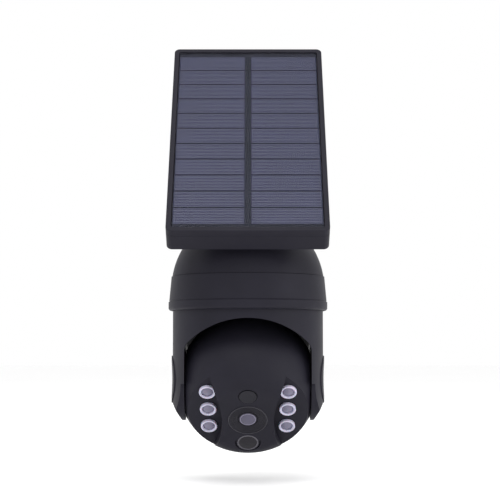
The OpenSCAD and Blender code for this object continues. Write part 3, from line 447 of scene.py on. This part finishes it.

# A lighter ring round the front glass's edge: a painted highlight on the glass rim
GLASS_EDGE_R = 0.4
bm = bmesh.new()
lathe(bm, arc((inner - 0.55, dome[-1][1]), GLASS_EDGE_R, 0, 330, 11), ball_frame, GLASS_SIDES)
smooth(piece("glass_rim_highlight", bm, "ball", glass_highlight_paint), 60)

# Lamps: a pale bezel with a rolled lip, and a domed lens with a stepped edge. Millimetres.
LAMP_GROUP_GAP = 2
LAMP_RIM_W = 1.6
LAMP_LIP_R = 0.6
LAMP_CURVE_R = 9.0
LAMP_SIDES = 48
LAMP_STEPS = 8
LAMP_ROOT = 1.5       # how far each lens reaches down through the shell

lamp_points = [ball_frame.inverted() @ v.co for v in nodes["lamp_bezels"].data.vertices]
lamp_places = []
for side in (-1, 1):
    column = sorted((p for p in lamp_points if p.x * side > 0), key=lambda p: p.y)
    groups = [[column[0]]]
    for p in column[1:]:
        if p.y - groups[-1][-1].y > LAMP_GROUP_GAP * MM:
            groups.append([])
        groups[-1].append(p)
    for group in groups:
        xs, ys, zs = ([p[i] / MM for p in group] for i in range(3))
        lamp_places.append(((min(xs) + max(xs)) / 2, (min(ys) + max(ys)) / 2,
                            min(zs), max(zs), (max(xs) - min(xs)) / 2))
rim_bm, lens_bm = bmesh.new(), bmesh.new()
for x, y, seat, lip, radius in lamp_places:
    place = ball_frame @ Matrix.Translation(Vector((x, y, 0)) * MM)
    profile = [(radius - LAMP_RIM_W, seat), (radius, seat), (radius, lip - 0.7)]
    profile += arc((radius - LAMP_LIP_R, lip - LAMP_LIP_R), LAMP_LIP_R, 0, 90, 6)
    profile += [(radius - 1.0, lip - 0.05), (radius - LAMP_RIM_W, lip - LAMP_LIP_R)]
    lathe(rim_bm, profile, place, LAMP_SIDES)
    clear = radius - LAMP_RIM_W - 0.03
    top = lip - 0.35
    dome = [(0, top)]
    for k in range(1, LAMP_STEPS):
        r = clear * k / LAMP_STEPS
        dome.append((r, top - LAMP_CURVE_R + math.sqrt(LAMP_CURVE_R ** 2 - r ** 2)))
    edge_h = dome[-1][1]
    dome += [(clear * 0.93, edge_h - 0.3), (clear, edge_h - 0.35),
             (clear, seat - LAMP_ROOT), (0, seat - LAMP_ROOT)]
    lathe(lens_bm, dome, place, LAMP_SIDES, False)
smooth(piece("lamp_rims", rim_bm, "ball", mat["lamp_white"], ["lamp_bezels"]))
smooth(piece("lamp_domes", lens_bm, "ball", mat["lamp_clear"], ["lamp_lenses"]), 60)

# Motion sensor: a film dome pressed into small hexagonal lenslets, in a pale rim (pale plastic, made lighter still
# as a painted highlight). Millimetres.
LENSLET = 1.7
LENSLET_H = 0.14
FILM_STEPS = 22
FILM_SIDES = 72
FILM_RIM_W = 1.0
FILM_EDGE_DROP = 1.05  # from the CAD lens's top down to the film's edge
FILM_FLAT = 1.6        # the part of the CAD lens's height that isn't dome
FILM_RIM_DROP = 0.75
low, high = [corner / MM for corner in local_box("pir_lens", ball_frame)]
pir_r, pir_at = (high.x - low.x) / 2, ((low.x + high.x) / 2, (low.y + high.y) / 2)
place = ball_frame @ Matrix.Translation(Vector((*pir_at, 0)) * MM)


def lenslet(x, y):
    """Height of the hexagonal lenslet pattern, from 0 at its grooves to 1."""
    row_h = LENSLET * math.sqrt(3) / 2
    best = LENSLET
    for j in (math.floor(y / row_h), math.floor(y / row_h) + 1):
        shift = LENSLET / 2 * (j % 2)
        i = round((x - shift) / LENSLET)
        best = min(best, math.hypot(x - shift - i * LENSLET, y - j * row_h))
    return 1 - (best / (LENSLET * 0.58)) ** 2


film_r = pir_r - FILM_RIM_W
bm = bmesh.new()
film_rings = []
for k in range(FILM_STEPS + 1):
    radius = film_r * k / FILM_STEPS
    count = FILM_SIDES if k else 1
    ring = []
    for i in range(count):
        turn = TAU * i / count
        x, y = radius * math.cos(turn), radius * math.sin(turn)
        rise = (high.z - low.z - FILM_FLAT) * (1 - (radius / film_r) ** 2)
        if k < FILM_STEPS:
            rise += LENSLET_H * lenslet(x, y)
        ring.append(bm.verts.new(place @ (Vector((x, y, high.z - FILM_EDGE_DROP + rise)) * MM)))
    film_rings.append(ring)
base = []
for i in range(FILM_SIDES):
    turn = TAU * i / FILM_SIDES
    corner = Vector((film_r * math.cos(turn), film_r * math.sin(turn), low.z))
    base.append(bm.verts.new(place @ (corner * MM)))
film_rings.append(base)
for lower, upper in zip(film_rings, film_rings[1:]):
    for i in range(FILM_SIDES):
        j = (i + 1) % FILM_SIDES
        corners = dict.fromkeys([lower[i % len(lower)], lower[j % len(lower)], upper[j], upper[i]])
        bm.faces.new(list(corners))
bm.faces.new(base[::-1])
smooth(piece("pir_film", bm, "ball", mat["sensor_film"], ["pir_lens"]), 55)
# The rim: pale translucent plastic, coloured lighter to paint the highlight along its edge
bm = bmesh.new()
rim_top = high.z - FILM_RIM_DROP
profile = [(film_r, low.z), (pir_r, low.z), (pir_r, rim_top - 0.3)]
profile += arc((pir_r - 0.35, rim_top - 0.3), 0.35, 0, 90, 5)
profile += [(film_r, rim_top - 0.1)]
lathe(bm, profile, place, FILM_SIDES)
smooth(piece("pir_rim", bm, "ball", pale_rim_and_highlight))


# ---- CAD nodes that stay: rounded edges and smooth shading ----

# Width of each node's rounded edges, in millimetres
EDGE = {
    "panel_frame": 0.4, "panel_tray": 0.25, "yoke_shell": 1.0, "collar_shell": 0.5, "dome_shell": 0.5,
    "ball_front_shell": 0.45, "ball_rear_shell": 0.4, "ear_cap_left": 0.5, "ear_cap_right": 0.5,
    "wall_bracket": 0.8, "swivel_base": 0.6, "panel_bracket": 0.6, "clamp_knob": 0.5, "port_cover": 0.4,
    "power_button": 0.4, "arm_liners": 0.2, "clear_sheet": 0.2,
}
PLAIN_EDGE = 0.15
# Nodes whose small facets would otherwise stop the rounding
FREE_EDGES = {"panel_frame", "panel_tray", "dome_shell", "wall_bracket"}


def soften(node, width):
    """Gives a CAD node its material, joins its flat triangles and rounds its sharp edges."""
    o = nodes[node]
    o.data.materials.clear()
    o.data.materials.append(mat[slot_of[node]])
    for face in o.data.polygons:
        face.use_smooth = True
    if "custom_normal" in o.data.attributes:
        o.data.attributes.remove(o.data.attributes["custom_normal"])
    weld = o.modifiers.new("weld", "WELD")
    weld.merge_threshold = 0.002 * MM
    flat = o.modifiers.new("flat", "DECIMATE")
    flat.decimate_type = "DISSOLVE"
    flat.angle_limit = math.radians(0.6)
    edge = o.modifiers.new("edge", "BEVEL")
    edge.width = width * MM
    edge.segments = 3 if width > 0.3 else 2
    edge.limit_method = "ANGLE"
    edge.angle_limit = math.radians(28)
    edge.use_clamp_overlap = node not in FREE_EDGES
    edge.harden_normals = True
    edge.miter_outer = "MITER_ARC"


for name in nodes:
    if not nodes[name].hide_render:
        soften(name, EDGE.get(name, PLAIN_EDGE))


# ---- camera, lights and floor ----

CAMERA_AT = (0.0015, -1.152, -0.060)
CAMERA_PITCH = math.radians(4.18)
CAMERA_LENS = 104

camera = bpy.data.objects.new("camera", bpy.data.cameras.new("camera"))
camera.data.lens = CAMERA_LENS
camera.data.sensor_width = 36
camera.location = CAMERA_AT
camera.rotation_euler = (math.pi / 2 + CAMERA_PITCH, 0, 0)
scene.collection.objects.link(camera)
scene.camera = camera


def soft_light(name, place, size, power, colour=(1, 1, 1), aim=(0, -0.1, 0)):
    data = bpy.data.lights.new(name, "AREA")
    data.shape = "RECTANGLE"
    data.size, data.size_y = size
    data.energy = power
    data.color = colour
    lamp = bpy.data.objects.new(name, data)
    lamp.location = place
    lamp.rotation_euler = (Vector(aim) - Vector(place)).to_track_quat("-Z", "Y").to_euler()
    scene.collection.objects.link(lamp)


soft_light("key", (-0.2, -1.0, 1.6), (1.6, 1.2), 15)
soft_light("side", (1.6, -0.9, 0.5), (1.0, 1.4), 9)
soft_light("back", (0.3, 1.3, 1.2), (1.4, 1.0), 7)

world = bpy.data.worlds.new("world")
world.use_nodes = True
world.node_tree.nodes["Background"].inputs["Color"].default_value = (1, 1, 1, 1)
world.node_tree.nodes["Background"].inputs["Strength"].default_value = 1.0
scene.world = world
scene.view_settings.view_transform = "Standard"

FLOOR_BELOW = 0.02
FLOOR_R = 12
FLOOR_TONES = [(0.3, (0.975,) * 3), (0.7, (0.985,) * 3)]

floor_z = cad_box[0][2] - FLOOR_BELOW
floor_mesh = bpy.data.meshes.new("floor")
bm = bmesh.new()
bmesh.ops.create_circle(bm, cap_ends=True, radius=FLOOR_R, segments=96,
                        matrix=Matrix.Translation((0, 0, floor_z)))
bm.to_mesh(floor_mesh)
bm.free()
floor = bpy.data.objects.new("floor", floor_mesh)
scene.collection.objects.link(floor)
floor_look = Nodes("floor")
floor_look.feed(Base_Color=floor_look.ramp(floor_look.noise(3, 2), FLOOR_TONES))
floor_look.set(Roughness=0.9)
floor_mesh.materials.append(floor_look.material)
